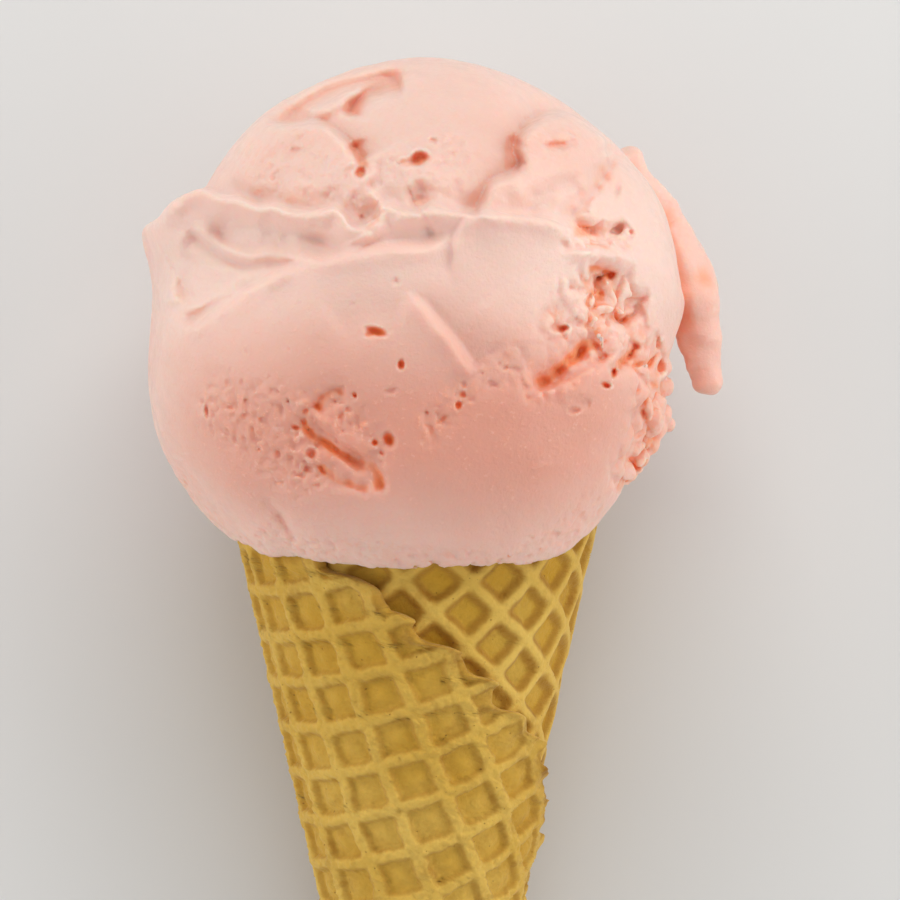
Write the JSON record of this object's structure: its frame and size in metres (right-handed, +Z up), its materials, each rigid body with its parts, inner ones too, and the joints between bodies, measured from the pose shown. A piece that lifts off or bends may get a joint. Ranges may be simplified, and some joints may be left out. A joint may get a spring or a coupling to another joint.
{
  "type": "ice cream cone",
  "caption": "Pink scoop of ice cream with folds, a torn lip and a hanging tongue, pressed onto a rolled sugar wafer cone with a square grid and a ragged lap, lying on its side.",
  "frame": {"origin": "bottom centre of the bounding box, on the surface the cone lies on", "axes": "+Z up out of the shown side, +Y along the length from the wafer's tip towards the scoop, +X to the right as the picture shows it"},
  "size_m": [0.0816, 0.1742, 0.0712],
  "materials": {
    "wafer": "baked golden wafer, matte, browner in the pressed cells",
    "ice_cream": "pale pink ice cream, softly wet, deeper orange-pink in its pits"
  },
  "bodies": {
    "root": {"wafer_cone": "wafer", "ice_cream": "ice_cream"}
  },
  "joints": []
}
